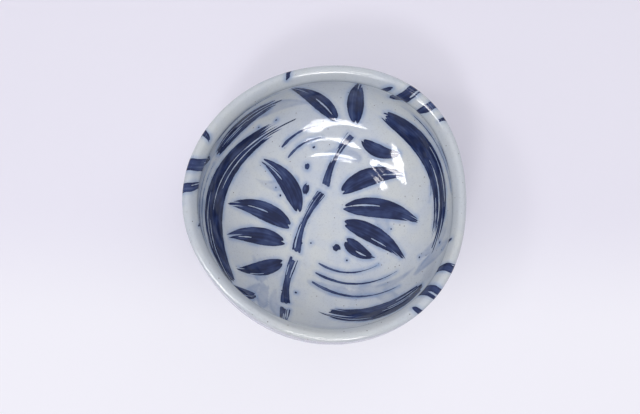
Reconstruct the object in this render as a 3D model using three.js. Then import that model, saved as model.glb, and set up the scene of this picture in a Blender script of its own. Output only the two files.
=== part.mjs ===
// Painted tea bowl: thrown porcelain, brushed with cobalt and dipped in a clear glaze.
// Millimetres, +Z up. The origin is on the table, under the middle of the bowl's outline.
import * as THREE from 'three';

// The finished bowl, glaze included
const rimRadius = 60; // mean radius at the widest line of the lip
const bowlHeight = 62; // table to the crest of the lip
const lipWidth = 5.8; // across the rounded lip
const lipShoulder = 2; // radius of the lip's outer half; the inner half falls away more gently
const lipSlope = 5.2; // crest of the lip down to its inner edge
const lipBevel = 0.42; // how far the curve holds its way at each end of that slope
const lipRoll = 1.1; // how far the lip stands in over the wall under it
const lipDepth = 9.4; // crest of the lip down to where the wall is widest inside

// The clay
const wallThickness = 2.2; // under the lip; the wall grows thicker towards the floor
const floorThickness = 5.2;
const floorSpread = 35; // how far out the floor stays nearly level
const wallDrop = 25; // how far down the wall stays nearly upright
const bellyReach = 17; // how far out from the foot the underside stays low
const bellySlope = THREE.MathUtils.degToRad(20); // climb of the underside where it leaves the foot

// The foot
const footRadius = 25.2; // outside, where the ring meets the bowl
const footHeight = 7; // table to the clay inside the ring
const footWidth = 4.6; // of the ring, where it meets the bowl
const footTaper = 0.8; // drawn in on each face towards the table
const footEdge = 0.5; // bevel round the standing edge
const slipThickness = 0.8;
const cornerFillet = 2.6; // glaze pooled in the corner above the foot
const wellFillet = 1.4; // glaze pooled in the corner inside the foot
const bareEdge = 1.6; // height wiped free of glaze above the table

// The layers on the clay
const seatGap = 0.3; // left between two layers that touch
const paintThickness = 0.2;
const glazeThickness = 0.4;

// The shape that the hands left: a soft three-cornered rim that is round again at the foot
const threeLobes = { reach: 1.44, bearing: 54 };
const fourLobes = { reach: 0.29, bearing: 45 };
const fiveLobes = { reach: 0.27, bearing: -31 };
const rimWander = 0.3; // rise and fall of the lip
const wanderBearing = 120;

// Fineness of the facets
const segments = 48; // round the bowl
const footSegments = 40;
const flatness = 0.09; // most that a row of facets may stand off the true curve
const dabFlatness = 0.03; // the same along a brush stroke
const longestFacet = 7.5;
const longestDab = 4.6; // longest facet along a brush stroke
const widestDab = 3.4; // widest facet across a brush stroke
const narrowDab = 1.1; // the same for a short dab, since some bend over the lip
const stride = 0.2; // steps in which a path is followed
const fewestDabs = 4; // facets along the shortest stroke

const glazeSeat = seatGap + paintThickness + seatGap;
const coat = glazeSeat + glazeThickness;

const clay = new THREE.MeshStandardMaterial({ color: 0xe6e1d8, roughness: 0.75, metalness: 0 });
const slip = new THREE.MeshStandardMaterial({ color: 0xdcd6cb, roughness: 0.8, metalness: 0 });
const cobalt = new THREE.MeshStandardMaterial({ color: 0x2c375a, roughness: 0.35, metalness: 0 });
const thinCobalt = new THREE.MeshStandardMaterial({ color: 0x4d5f87, roughness: 0.35, metalness: 0 });
const glaze = new THREE.MeshStandardMaterial({
  color: 0xd3dde3,
  roughness: 0.12,
  metalness: 0,
  transparent: true,
  opacity: 0.35,
});

// The clay surface in section, from the middle of the floor up the inside, over the lip and down the
// outside to the standing edge. x is the distance from the axis and y the height.
const lipMiddle = new THREE.Vector2(rimRadius - lipShoulder, bowlHeight - lipShoulder);
const clayShoulder = lipShoulder - coat;
const clayInward = lipWidth - lipShoulder - coat;
const claySlope = lipSlope - coat;
const clayTop = bowlHeight - coat;
const innerHeight = bowlHeight - lipSlope;
const innerEdge = lipMiddle.x - clayInward;
const outerEdge = lipMiddle.x + clayShoulder;
const insideRadius = innerEdge + lipRoll;
const outsideRadius = insideRadius + wallThickness;
const shoulder = bowlHeight - lipDepth;
const innerEase = (innerHeight - shoulder) / 2;
const outerEase = (lipMiddle.y - shoulder) / 2;
const floorLevel = footHeight + floorThickness;
const corner = new THREE.Vector2(footRadius, footHeight);
const underside = new THREE.Vector2(Math.cos(bellySlope), Math.sin(bellySlope));
const filletTop = corner.clone().addScaledVector(underside, cornerFillet);
const belly = filletTop.clone().addScaledVector(underside, bellyReach);
const filletFoot = footHeight - cornerFillet;
const footFace = (height) => footRadius - footTaper * (1 - height / footHeight);

const section = new THREE.Path();
section.moveTo(0, floorLevel);
section.bezierCurveTo(floorSpread, floorLevel, insideRadius, shoulder - wallDrop, insideRadius, shoulder);
section.bezierCurveTo(
  insideRadius, shoulder + innerEase, innerEdge, innerHeight - innerEase, innerEdge, innerHeight);
section.bezierCurveTo(
  innerEdge, innerHeight + lipBevel * claySlope, lipMiddle.x - lipBevel * clayInward, clayTop,
  lipMiddle.x, clayTop);
const crestCurve = section.curves.length - 1; // the curve that ends on the crest of the lip
section.absarc(lipMiddle.x, lipMiddle.y, clayShoulder, Math.PI / 2, 0, true);
section.bezierCurveTo(
  outerEdge, lipMiddle.y - outerEase, outsideRadius, shoulder + outerEase, outsideRadius, shoulder);
section.bezierCurveTo(outsideRadius, shoulder - wallDrop, belly.x, belly.y, filletTop.x, filletTop.y);
const lastClayCurve = section.curves.length - 1; // the curve that ends above the foot
section.quadraticCurveTo(corner.x, corner.y, footFace(filletFoot), filletFoot);
section.lineTo(footFace(bareEdge), bareEdge);

const sectionLength = section.getLength();
const runsTo = section.getCurveLengths();
const crest = runsTo[crestCurve]; // length at which the section passes over the lip
const clayEnd = runsTo[lastClayCurve]; // length at which the clay body turns under, above the foot

// A point of a path at a length along it, and the way out of the clay there
function pathAt(path, length) {
  const share = THREE.MathUtils.clamp(length / path.getLength(), 0, 1);
  const along = path.getTangent(share);
  return { place: path.getPoint(share), out: new THREE.Vector2(-along.y, along.x) };
}

// The path raised off the clay, at a length along it; a path that starts on the axis stays there
function raised(path, length, height) {
  const { place, out } = pathAt(path, length);
  const onAxis = place.x === 0;
  place.addScaledVector(out, height);
  return onAxis ? place.setX(0) : place;
}

// How far a chord stands off a curve that turns by an angle over it
const sag = (turn, chord) => (turn * chord) / 8;

// Lengths along a path where the coat over it has turned enough to need a new row of facets
function rowsBetween(path, from, to) {
  const rows = [from];
  let last = from;
  for (let length = from + stride; length < to - stride; length += stride) {
    const turn = pathAt(path, length).out.angleTo(pathAt(path, last).out);
    const chord = length - last + turn * coat;
    if (sag(turn, chord) > flatness || chord > longestFacet) {
      rows.push(length);
      last = length;
    }
  }
  rows.push(to);
  return rows;
}

// Moves a round place to where the potter's hands left it
function byHand(x, y, z) {
  const settled = footHeight + cornerFillet;
  const rise = THREE.MathUtils.clamp((z - settled) / (bowlHeight - settled), 0, 1);
  const share = rise * Math.sqrt(rise);
  const bearing = Math.atan2(y, x);
  const lobe = ({ reach, bearing: at }, count) =>
    reach * Math.cos(count * (bearing - THREE.MathUtils.degToRad(at)));
  const spread = lobe(threeLobes, 3) + lobe(fourLobes, 4) + lobe(fiveLobes, 5);
  const stretch = 1 + (share * spread) / rimRadius;
  const lift = share * share * rimWander * Math.cos(2 * (bearing - THREE.MathUtils.degToRad(wanderBearing)));
  return [x * stretch, y * stretch, z + lift];
}

// A piece turned on the wheel from its outline, which runs anticlockwise and either closes or starts
// and ends on the axis
function turned(name, outline, material, around) {
  const geometry = new THREE.LatheGeometry(outline, around);
  geometry.rotateX(Math.PI / 2);
  const points = geometry.attributes.position;
  for (let i = 0; i < points.count; i += 1) {
    points.setXYZ(i, ...byHand(points.getX(i), points.getY(i), points.getZ(i)));
  }
  const piece = new THREE.Mesh(geometry, material);
  piece.name = name;
  return piece;
}

function clayBody() {
  const outline = rowsBetween(section, 0, clayEnd).map((length) => raised(section, length, 0));
  outline.push(corner.clone());
  outline.push(new THREE.Vector2(0, footHeight));
  return turned('clay_body', outline.reverse(), clay, segments);
}

// The outline of a coat over a path, from one height off the clay to another
function coatOutline(path, low, high) {
  const rows = rowsBetween(path, 0, path.getLength());
  const upper = rows.map((length) => raised(path, length, high));
  const lower = rows.map((length) => raised(path, length, low));
  return [...lower, ...upper.reverse()];
}

function glazeCoat() {
  return turned('glaze_coat', coatOutline(section, glazeSeat, coat), glaze, segments);
}

// The foot: a ring of clay, the slip that holds it and the glaze inside it
const slipTop = footHeight - seatGap;
const slipFoot = slipTop - slipThickness;
const footTop = slipFoot - seatGap;
const innerFoot = footRadius - footWidth;
const wellFace = (height) => innerFoot + footTaper * (1 - height / footHeight);

function footRing() {
  const outline = [
    new THREE.Vector2(wellFace(footTop), footTop),
    new THREE.Vector2(wellFace(footEdge), footEdge),
    new THREE.Vector2(wellFace(0) + footEdge, 0),
    new THREE.Vector2(footFace(0) - footEdge, 0),
    new THREE.Vector2(footFace(footEdge), footEdge),
    new THREE.Vector2(footFace(footTop), footTop),
  ];
  return turned('foot_ring', closed(outline), clay, footSegments);
}

function footSlipSeam() {
  const middle = (slipTop + slipFoot) / 2;
  const bead = slipThickness / 2;
  const outline = [
    new THREE.Vector2(wellFace(slipTop), slipTop),
    new THREE.Vector2(wellFace(slipFoot), slipFoot),
    new THREE.Vector2(footFace(slipFoot), slipFoot),
    new THREE.Vector2(footFace(middle) + bead, middle),
    new THREE.Vector2(footFace(slipTop), slipTop),
  ];
  return turned('foot_slip_seam', closed(outline), slip, footSegments);
}

// The well's path runs with the clay on its left, so heights off the clay are negative there
function footWellGlaze() {
  const bend = footHeight - wellFillet;
  const well = new THREE.Path();
  well.moveTo(0, footHeight);
  well.lineTo(innerFoot - wellFillet, footHeight);
  well.quadraticCurveTo(innerFoot, footHeight, wellFace(bend), bend);
  well.lineTo(wellFace(bareEdge), bareEdge);
  const outline = coatOutline(well, -seatGap - glazeThickness, -seatGap);
  return turned('foot_well_glaze', outline, glaze, footSegments);
}

function closed(outline) {
  return [...outline, outline[0].clone()];
}

// Brushwork. A stroke runs from one place on the clay to another. Each place is a bearing in degrees
// and a distance from the middle of the floor, measured along the clay. Its middle swings to the left
// of its way by bend. Width is where the brush is pressed hardest.
const swell = (share, lead, fullness) => Math.sin(Math.PI * share ** lead) ** fullness;
const brushes = {
  sweep: (share) => swell(share, 0.7, 0.5),
  leaf: (share) => swell(share, 0.7, 0.9),
  blade: (share) => (1 - share) ** 0.6 * Math.min(1, 0.5 + 4 * share),
  stalk: (share) => 0.82 + 0.18 * Math.cos(2 * Math.PI * share),
  dab: (share) => swell(THREE.MathUtils.clamp(share, 0.04, 0.96), 1, 0.5),
};
const brushTip = 0.7; // narrowest mark the brush makes

const strokes = [
  { name: 'sweep_left', from: [219, 63], to: [106, 54], bend: 25, width: 13, brush: 'sweep' },
  { name: 'sweep_right', from: [62, 60], to: [336, 55], bend: 19, width: 12.5, brush: 'sweep' },
  { name: 'sweep_low', from: [322, 63], to: [262, 44], bend: 9, width: 11, brush: 'sweep' },
  { name: 'stalk_joint_1', from: [252, 82], to: [246, 50], bend: 0.6, width: 5, brush: 'stalk' },
  { name: 'stalk_joint_2', from: [245, 48], to: [229, 23], bend: 1.4, width: 4.6, brush: 'stalk' },
  { name: 'stalk_joint_3', from: [226, 21], to: [98, 15], bend: 2.6, width: 4.2, brush: 'stalk' },
  { name: 'stalk_joint_4', from: [93, 17], to: [74, 44], bend: 2.2, width: 3.8, brush: 'stalk' },
  { name: 'leaf_1', from: [190, 17], to: [173, 50], bend: -4, width: 9, brush: 'leaf' },
  { name: 'leaf_2', from: [208, 22], to: [192, 52], bend: -3, width: 8.5, brush: 'leaf' },
  { name: 'leaf_3', from: [223, 28], to: [211, 53], bend: 1.5, width: 7.5, brush: 'leaf' },
  { name: 'leaf_4', from: [162, 14], to: [139, 46], bend: -5, width: 8.5, brush: 'leaf' },
  { name: 'leaf_5', from: [66, 15], to: [27, 45], bend: 5, width: 8.5, brush: 'leaf' },
  { name: 'leaf_6', from: [44, 10], to: [356, 46], bend: 4, width: 9.5, brush: 'leaf' },
  { name: 'leaf_7', from: [4, 7], to: [331, 43], bend: 3, width: 8.5, brush: 'leaf' },
  { name: 'leaf_8', from: [84, 49], to: [108, 78], bend: -3, width: 8.5, brush: 'leaf' },
  { name: 'leaf_9', from: [73, 49], to: [75, 81], bend: 2, width: 8, brush: 'leaf' },
  { name: 'leaf_10', from: [67, 43], to: [40, 50], bend: -3, width: 6.5, brush: 'leaf' },
  { name: 'blade_1', from: [256, 30], to: [316, 49], bend: -6, width: 1.7, brush: 'blade' },
  { name: 'blade_2', from: [257, 25], to: [322, 42], bend: -5.5, width: 1.5, brush: 'blade' },
  { name: 'blade_3', from: [258, 20], to: [318, 32], bend: -4, width: 1.3, brush: 'blade' },
  { name: 'blade_4', from: [122, 42], to: [94, 47], bend: 2.5, width: 1.6, brush: 'blade' },
  { name: 'blade_5', from: [122, 36], to: [92, 41], bend: 2.5, width: 1.4, brush: 'blade' },
  { name: 'drop_1', from: [284, 11], to: [292, 15], bend: 0.3, width: 3.4, brush: 'dab' },
  { name: 'drop_2', from: [128, 17], to: [116, 21], bend: 0.3, width: 3.2, brush: 'dab' },
  { name: 'drop_3', from: [112, 27], to: [108, 30], bend: 0, width: 2.4, brush: 'dab' },
];

// Short marks over the lip: bearing and how far they run in and out from the crest
const lipMarks = [
  { bearing: 163, lean: 12, inward: 15, outward: 7, width: 5.4 },
  { bearing: 176, lean: 10, inward: 8, outward: 12, width: 3.6 },
  { bearing: 55, lean: -12, inward: 14, outward: 7, width: 5 },
  { bearing: 42, lean: -9, inward: 7, outward: 12, width: 3.4 },
  { bearing: 315, lean: 12, inward: 14, outward: 8, width: 5.2 },
  { bearing: 330, lean: 10, inward: 7, outward: 13, width: 3.6 },
];

// Leaves on the outside, by bearing, in sprays that hang from the lip
const sprays = [98, 268];
const sprayNeck = 0.4; // how far apart the leaves start, as a share of how far they end
const sprayLeaves = [
  { lean: -14, start: 13, length: 34, width: 6.5 },
  { lean: 0, start: 17, length: 40, width: 7.5 },
  { lean: 14, start: 13, length: 32, width: 6 },
];

// Two lines round the outside, by their distance along the clay from the standing edge
const footLines = [
  { above: 10.5, width: 1.3 },
  { above: 14.5, width: 0.9 },
];

function paintedLine({ from, to, bend }) {
  const place = ([bearing, reach]) =>
    new THREE.Vector2(reach, 0).rotateAround(new THREE.Vector2(), THREE.MathUtils.degToRad(bearing));
  const start = place(from);
  const end = place(to);
  const along = end.clone().sub(start).normalize();
  const left = new THREE.Vector2(-along.y, along.x);
  const middle = start.clone().lerp(end, 0.5).addScaledVector(left, 2 * bend);
  return new THREE.QuadraticBezierCurve(start, middle, end);
}

// A step sideways on the clay, from a place on the flat layout of the paint
function stepAside(place, along, distance) {
  const reach = Math.max(place.length(), stride);
  const outward = place.clone().divideScalar(reach);
  const round = new THREE.Vector2(-outward.y, outward.x);
  const squeeze = Math.min(1, pathAt(section, reach).place.x / reach);
  const direct = along.dot(outward);
  const sideways = along.dot(round) * squeeze;
  const size = Math.hypot(direct, sideways);
  const aside = place.clone().addScaledVector(outward, (-sideways / size) * distance);
  return aside.addScaledVector(round, ((direct / size) * distance) / squeeze);
}

function onClay(flat, height) {
  const point = raised(section, flat.length(), height);
  const bearing = Math.atan2(flat.y, flat.x);
  return new THREE.Vector3(...byHand(point.x * Math.cos(bearing), point.x * Math.sin(bearing), point.y));
}

// Shares of a stroke's length where the clay under it has turned enough to need a new facet
function dabsAlong(line) {
  const dabs = [0];
  const longest = Math.min(longestDab, line.getLength() / fewestDabs);
  const outAt = (share) => pathAt(section, line.getPoint(share).length()).out;
  const count = Math.ceil(line.getLength() / stride);
  let last = 0;
  for (let i = 1; i < count; i += 1) {
    const share = i / count;
    const chord = line.getPoint(share).distanceTo(line.getPoint(last));
    const turn = outAt(share).angleTo(outAt(last));
    if (sag(turn, chord) > dabFlatness || chord > longest) {
      dabs.push(share);
      last = share;
    }
  }
  dabs.push(1);
  return dabs;
}

function brushStroke(stroke) {
  const line = paintedLine(stroke);
  const dabs = dabsAlong(line);
  const widest = stroke.brush === 'dab' ? narrowDab : widestDab;
  const columns = Math.max(1, Math.ceil(stroke.width / widest));
  const positions = [];
  for (const height of [seatGap, seatGap + paintThickness]) {
    for (const share of dabs) {
      const place = line.getPoint(share);
      const along = line.getTangent(share);
      const width = Math.max(brushTip, stroke.width * brushes[stroke.brush](share));
      for (let column = 0; column <= columns; column += 1) {
        const aside = stepAside(place, along, width * (column / columns - 0.5));
        positions.push(...onClay(aside, height).toArray());
      }
    }
  }
  const geometry = new THREE.BufferGeometry();
  geometry.setAttribute('position', new THREE.Float32BufferAttribute(positions, 3));
  geometry.setIndex(ribbonFaces(dabs.length, columns + 1));
  const piece = new THREE.Mesh(geometry, stroke.brush === 'blade' ? thinCobalt : cobalt);
  piece.name = stroke.name;
  return piece;
}

function lipMark({ bearing, lean, inward, outward, width }, number) {
  return brushStroke({
    name: `lip_mark_${number}`,
    from: [bearing - lean / 2, crest - inward],
    to: [bearing + lean / 2, crest + outward],
    bend: 0,
    width,
    brush: 'dab',
  });
}

function outsideLeaf(bearing, { lean, start, length, width }, number) {
  return brushStroke({
    name: `outside_leaf_${number}`,
    from: [bearing + lean * sprayNeck, crest + start],
    to: [bearing + lean, crest + start + length],
    bend: 0,
    width,
    brush: 'leaf',
  });
}

function footLine({ above, width }, number) {
  const near = sectionLength - above;
  const far = near - width;
  const upper = seatGap + paintThickness;
  const lower = [near, far].map((length) => raised(section, length, seatGap));
  const raisedLine = [far, near].map((length) => raised(section, length, upper));
  return turned(`foot_line_${number}`, closed([...lower, ...raisedLine].reverse()), cobalt, segments);
}

// Triangles of a thin slab whose two sides are grids of rows by columns, the lower side first
function ribbonFaces(rows, columns) {
  const faces = [];
  const upper = rows * columns;
  const at = (row, column) => row * columns + column;
  const quad = (a, b, c, d) => faces.push(a, b, c, a, c, d);
  const rim = (a, b) => quad(a, b, b + upper, a + upper);
  for (let row = 0; row + 1 < rows; row += 1) {
    for (let column = 0; column + 1 < columns; column += 1) {
      const ring = [at(row, column), at(row, column + 1), at(row + 1, column + 1), at(row + 1, column)];
      quad(...ring);
      quad(...ring.reverse().map((vertex) => vertex + upper));
    }
    rim(at(row, 0), at(row + 1, 0));
    rim(at(row + 1, columns - 1), at(row, columns - 1));
  }
  for (let column = 0; column + 1 < columns; column += 1) {
    rim(at(0, column + 1), at(0, column));
    rim(at(rows - 1, column), at(rows - 1, column + 1));
  }
  return faces;
}

const bowl = new THREE.Group();
bowl.name = 'painted_bowl';
bowl.add(clayBody());
bowl.add(footRing());
bowl.add(footSlipSeam());
bowl.add(footWellGlaze());
for (const stroke of strokes) {
  bowl.add(brushStroke(stroke));
}
lipMarks.forEach((mark, i) => bowl.add(lipMark(mark, i + 1)));
sprays.forEach((bearing, spray) => {
  const before = spray * sprayLeaves.length;
  sprayLeaves.forEach((leaf, i) => bowl.add(outsideLeaf(bearing, leaf, before + i + 1)));
});
footLines.forEach((line, i) => bowl.add(footLine(line, i + 1)));
bowl.add(glazeCoat());

// The lobes make the rim wider to one side, so the bowl is moved over the middle of its outline
const middle = new THREE.Box3().setFromObject(bowl).getCenter(new THREE.Vector3());
bowl.position.set(-middle.x, -middle.y, 0);

export default bowl;
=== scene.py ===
import math
import bpy
import numpy as np
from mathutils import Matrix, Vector, kdtree


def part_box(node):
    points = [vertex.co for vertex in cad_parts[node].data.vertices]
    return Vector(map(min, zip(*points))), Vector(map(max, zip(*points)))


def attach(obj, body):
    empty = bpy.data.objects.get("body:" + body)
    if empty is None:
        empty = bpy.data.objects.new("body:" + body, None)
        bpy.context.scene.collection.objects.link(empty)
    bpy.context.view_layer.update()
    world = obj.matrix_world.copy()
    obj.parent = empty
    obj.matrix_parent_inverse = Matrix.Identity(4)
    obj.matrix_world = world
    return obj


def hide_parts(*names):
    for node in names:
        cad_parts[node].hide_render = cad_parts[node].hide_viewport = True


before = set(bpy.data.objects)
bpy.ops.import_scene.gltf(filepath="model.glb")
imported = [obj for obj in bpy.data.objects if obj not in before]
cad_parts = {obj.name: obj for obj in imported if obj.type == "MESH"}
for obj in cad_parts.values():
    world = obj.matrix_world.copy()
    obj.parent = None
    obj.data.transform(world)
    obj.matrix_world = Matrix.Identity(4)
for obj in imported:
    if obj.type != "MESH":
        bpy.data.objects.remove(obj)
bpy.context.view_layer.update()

scene = bpy.context.scene
body = "root"
mm = 0.001

# The foot is round and stands on the bowl's axis, whichever way the lip leans
footLow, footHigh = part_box("foot_ring")
axisX, axisY = (footLow.x + footHigh.x) / 2, (footLow.y + footHigh.y) / 2

bowl = {                     # millimetres, as thrown
    "rimRadius": 60.0,       # finished, at the widest line of the lip
    "height": 62.0,          # finished, to the crest of the lip
    "lipWidth": 5.8,
    "lipShoulder": 2.0,      # radius of its outer half
    "lipSlope": 5.2,         # crest down to its inner edge, which falls away more gently
    "lipBevel": 0.3,         # how far the curve holds its way at each end of that slope
    "lipRoll": 1.1,          # how far the lip stands in over the wall
    "lipDepth": 9.4,         # crest down to where the wall is widest inside
    "wall": 2.2,
    "floor": 5.2,
    "floorSpread": 35.0,
    "wallDrop": 25.0,
    "bellyReach": 17.0,
    "bellySlope": 20.0,      # degrees
    "footRadius": 25.2,
    "footHeight": 7.0,
    "footWidth": 4.6,
    "footTaper": 0.8,
    "footRound": 0.7,        # softened edge that it stands on
    "cornerFillet": 2.6,
    "wellFillet": 1.4,
    "bareEdge": 1.6,         # wiped free of glaze above the table
    "lobes": ((3, 1.44, 54.0), (4, 0.29, 45.0), (5, 0.27, -31.0)),  # count, reach, bearing
    "lobesLate": 1.5,        # power by which they grow towards the lip
    "rimWander": 0.3,        # how far the lip rises on two sides and sinks between them
    "wanderBearing": 120.0,
}

coat = {                     # millimetres off the clay
    "seat": 0.8,
    "top": 1.2,
    "wellSeat": 0.3,
    "wellTop": 0.7,
    "endRound": 1.1,         # where the glaze was wiped off
    "underRound": 4.4,       # the same, on the side that lies on the clay
    "underShare": 0.98,      # how much of the seat that side keeps
    "wellUnderShare": 0.9,   # the same, in the well of the foot
    "thinnest": 0.002,       # square of the share of its thickness left at the very edge
    "wellThinnest": 0.004,
    "paintless": 20.0,       # distance given to glaze that no paint reaches
}

handMarks = {                # what the fingers left on the wheel, in millimetres
    "ringSpacing": 4.6,
    "ringHeight": 0.018,
    "ringsInside": (3.0, 15.0, 68.0, 76.0),  # along the clay: where they begin, are full, fade and end
    "ringsOutside": (9.0, 18.0, 44.0, 52.0),  # the same, past the crest of the lip
    "ribSpacing": 2.5,       # finer rings on the steep of the wall inside
    "ribHeight": 0.02,
    "ribs": (64.0, 72.0, 79.0, 82.0),
    "broken": 0.25,          # how far the rings weaken in places
    "brokenWave": (2, 0.21),  # round the bowl, along the clay
    "sway": 0.03,            # slow unevenness of the wall
    "swayFrom": (3.0, 22.0),
    "swayWaves": (           # count, length, start, share
        (2, 17.0, 0.0, 1.0), (3, -11.0, 1.3, 1.0), (5, 8.0, 0.4, 0.6),
    ),
}

meshGrain = {
    "around": 360,           # facets round the bowl
    "wallRow": 0.88,         # millimetres from row to row
    "lipRow": 0.3,
    "lipReach": 7.0,         # how far from the crest the rows stay that close
    "rowGrowth": 0.03,       # for each millimetre beyond
    "endRow": 0.12,          # the closest rows, where the coat ends
    "endShare": 0.2,         # and each row's share of what is left before that
    "underRows": 24,
    "curve": 900,            # points on each curve of the section
    "stroke": 0.42,
    "lipStroke": 0.26,       # for strokes that bend over the lip
    "lipNear": 4.0,          # how near the crest both ends may stop and still count as bent over it
    "acrossStroke": 0.18,
    "footAround": 200,
}


# The clay in section: middle of the floor, up the inside, over the lip, down to the table

def bezierRun(*points, steps=meshGrain["curve"]):
    share = np.linspace(0, 1, steps)[:, None]
    rows = [np.array(point, float)[None, :] for point in points]
    while len(rows) > 1:
        rows = [near * (1 - share) + far * share for near, far in zip(rows, rows[1:])]
    return rows[0]


def smooth(value, low, high):
    share = np.clip((value - low) / (high - low), 0, 1)
    return share * share * (3 - 2 * share)


def within(value, begin, full, fading, end):
    return smooth(value, begin, full) * (1 - smooth(value, fading, end))


def footFace(height):
    return bowl["footRadius"] - bowl["footTaper"] * (1 - height / bowl["footHeight"])


def wellFace(height):
    inner = bowl["footRadius"] - bowl["footWidth"]
    return inner + bowl["footTaper"] * (1 - height / bowl["footHeight"])


class ClaySection:
    def __init__(self):
        middleX, middleZ = bowl["rimRadius"] - bowl["lipShoulder"], bowl["height"] - bowl["lipShoulder"]
        outward = bowl["lipShoulder"] - coat["top"]
        inward = bowl["lipWidth"] - bowl["lipShoulder"] - coat["top"]
        fall = bowl["lipSlope"] - coat["top"]
        innerZ = bowl["height"] - bowl["lipSlope"]
        innerEdge, outerEdge = middleX - inward, middleX + outward
        inside = innerEdge + bowl["lipRoll"]
        outside = inside + bowl["wall"]
        neck = bowl["height"] - bowl["lipDepth"]
        innerEase, outerEase = (innerZ - neck) / 2, (middleZ - neck) / 2
        floorTop = bowl["footHeight"] + bowl["floor"]
        slope = math.radians(bowl["bellySlope"])
        under = np.array([math.cos(slope), math.sin(slope)])
        corner = np.array([bowl["footRadius"], bowl["footHeight"]])
        filletTop = corner + under * bowl["cornerFillet"]
        belly = filletTop + under * bowl["bellyReach"]
        filletFoot = bowl["footHeight"] - bowl["cornerFillet"]
        top, hold = middleZ + outward, bowl["lipBevel"]
        turn = np.linspace(math.pi / 2, 0, meshGrain["curve"])
        runs = [
            bezierRun((0, floorTop), (bowl["floorSpread"], floorTop),
                      (inside, neck - bowl["wallDrop"]), (inside, neck)),
            bezierRun((inside, neck), (inside, neck + innerEase),
                      (innerEdge, innerZ - innerEase), (innerEdge, innerZ)),
            bezierRun((innerEdge, innerZ), (innerEdge, innerZ + fall * hold),
                      (middleX - inward * hold, top), (middleX, top)),
            np.stack([middleX + outward * np.cos(turn), middleZ + outward * np.sin(turn)], axis=1),
            bezierRun((outerEdge, middleZ), (outerEdge, middleZ - outerEase),
                      (outside, neck + outerEase), (outside, neck)),
            bezierRun((outside, neck), (outside, neck - bowl["wallDrop"]), belly, filletTop),
            bezierRun(filletTop, corner, (footFace(filletFoot), filletFoot)),
            bezierRun((footFace(filletFoot), filletFoot), (footFace(bowl["bareEdge"]), bowl["bareEdge"])),
        ]
        self.line = np.concatenate([runs[0]] + [run[1:] for run in runs[1:]])
        steps = np.linalg.norm(np.diff(self.line, axis=0), axis=1)
        self.run = np.concatenate([[0], np.cumsum(steps)])
        way = np.gradient(self.line, self.run, axis=0)
        way /= np.linalg.norm(way, axis=1)[:, None]
        self.out = np.stack([-way[:, 1], way[:, 0]], axis=1)
        ends = np.cumsum([len(runs[0])] + [len(run) - 1 for run in runs[1:]]) - 1
        self.crest = self.run[ends[2]]
        self.length = self.run[-1]

    def at(self, reach, height):
        x = np.interp(reach, self.run, self.line[:, 0])
        z = np.interp(reach, self.run, self.line[:, 1])
        outX = np.interp(reach, self.run, self.out[:, 0])
        outZ = np.interp(reach, self.run, self.out[:, 1])
        return x + outX * height, z + outZ * height


clay = ClaySection()


def byHand(radius, bearing, z):
    # From a true round to the shape that the potter's hands left, in metres on the table
    settled = bowl["footHeight"] + bowl["cornerFillet"]
    share = np.clip((z - settled) / (bowl["height"] - settled), 0, 1) ** bowl["lobesLate"]
    spread = sum(reach * np.cos(count * (bearing - math.radians(at))) for count, reach, at in bowl["lobes"])
    stretch = 1 + share * spread / bowl["rimRadius"]
    lift = share ** 2 * bowl["rimWander"] * np.cos(2 * (bearing - math.radians(bowl["wanderBearing"])))
    x = axisX + radius * stretch * np.cos(bearing) * mm
    y = axisY + radius * stretch * np.sin(bearing) * mm
    return np.stack([x, y, (z + lift) * mm], axis=-1)


def wheelMarks(reach, bearing):
    # One long spiral of low ridges inside, another outside, and a slow sway of the whole wall
    marks = handMarks
    spiral = np.cos(2 * math.pi * reach / marks["ringSpacing"] + bearing)
    count, along = marks["brokenWave"]
    broken = 1 - marks["broken"] + marks["broken"] * np.sin(bearing * count + reach * along)
    rings = within(reach, *marks["ringsInside"]) + within(reach - clay.crest, *marks["ringsOutside"])
    ribs = np.cos(2 * math.pi * reach / marks["ribSpacing"] + bearing) * marks["ribHeight"]
    ribs = ribs * within(reach, *marks["ribs"])
    sway = sum(share * np.sin(waves * bearing + reach / length + start)
               for waves, length, start, share in marks["swayWaves"])
    sway = sway * smooth(reach, *marks["swayFrom"]) * marks["sway"]
    return marks["ringHeight"] * spiral * broken * rings + ribs * broken + sway


def onGlaze(reach, bearing, height=0.0):
    # A place on the finished surface, height millimetres above it
    reach, bearing = np.broadcast_arrays(np.asarray(reach, float), np.asarray(bearing, float))
    x, z = clay.at(reach, coat["top"] + wheelMarks(reach, bearing) + height)
    return byHand(x, bearing, z)


# Pieces

def makePiece(name, points, faces, material, nodes, facts=None, creases=None):
    mesh = bpy.data.meshes.new(name)
    mesh.from_pydata(points.tolist(), [], faces)
    mesh.polygons.foreach_set("use_smooth", [True] * len(mesh.polygons))
    for fact, values in (facts or {}).items():
        kind = "FLOAT_VECTOR" if values.ndim == 2 else "FLOAT"
        attribute = mesh.attributes.new(fact, kind, "POINT")
        attribute.data.foreach_set("vector" if values.ndim == 2 else "value", values.ravel())
    if creases:
        mesh.set_sharp_from_angle(angle=math.radians(creases))
    mesh.materials.append(material)
    mesh.update()
    piece = bpy.data.objects.new(name, mesh)
    scene.collection.objects.link(piece)
    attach(piece, body)
    if nodes:
        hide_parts(*nodes)
    return piece


def allRound(around):
    return np.arange(around) * 2 * math.pi / around


def ringFaces(rings, around, closed=False, flip=False):
    # Quads between rings of points; closed joins the last ring to the first
    faces = []
    for ring in range(rings if closed else rings - 1):
        near, far = ring * around, (ring + 1) % rings * around
        for column in range(around):
            after = (column + 1) % around
            quad = [near + column, far + column, far + after, near + after]
            faces.append(quad[::-1] if flip else quad)
    return faces


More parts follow.
